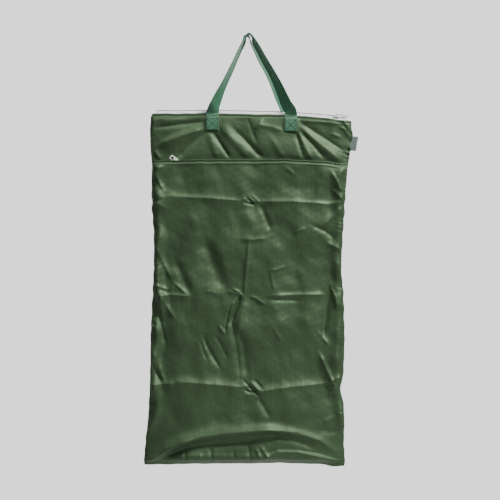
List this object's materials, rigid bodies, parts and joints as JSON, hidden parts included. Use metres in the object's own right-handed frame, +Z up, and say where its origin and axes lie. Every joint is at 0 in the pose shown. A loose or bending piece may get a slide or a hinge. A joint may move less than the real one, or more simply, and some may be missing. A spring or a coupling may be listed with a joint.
{
  "type": "cloth diaper wet bag",
  "caption": "Tall flat zipped bag of coated cloth with a zipped outer pocket and webbing carry handles, hanging empty by both handles.",
  "frame": {"origin": "the underside of the handles where they bend over what the bag hangs on", "axes": "+Z up, +X right and -Y forward as seen from the front with the pocket"},
  "size_m": [0.4242, 0.0635, 0.8557],
  "materials": {
    "cloth": "satin coated cloth",
    "webbing": "woven webbing",
    "zip_tape": "woven tape",
    "zip_coil": "nylon coil",
    "metal": "satin nickel",
    "tag": "plain woven label, bare"
  },
  "bodies": {
    "bag": {"back_panel": "cloth", "front_panel": "cloth", "pocket_panel": "cloth", "zip_tape_front": "zip_tape", "zip_tape_back": "zip_tape", "zip_coil": "zip_coil", "zip_slider": "metal", "pocket_zip_tape": "zip_tape", "pocket_zip_coil": "zip_coil", "pocket_zip_slider": "metal", "pocket_zip_pull": "metal", "handle_front": "webbing", "handle_back": "webbing", "side_tag": "tag"},
    "pull": {"zip_pull": "metal"}
  },
  "joints": [
    {"name": "zip_pull_hinge", "type": "hinge", "parent": "bag", "child": "pull", "pos_m": [0.17461, 0, -0.15671], "axis": [0, -1, 0], "range_deg": [0, 150]}
  ]
}
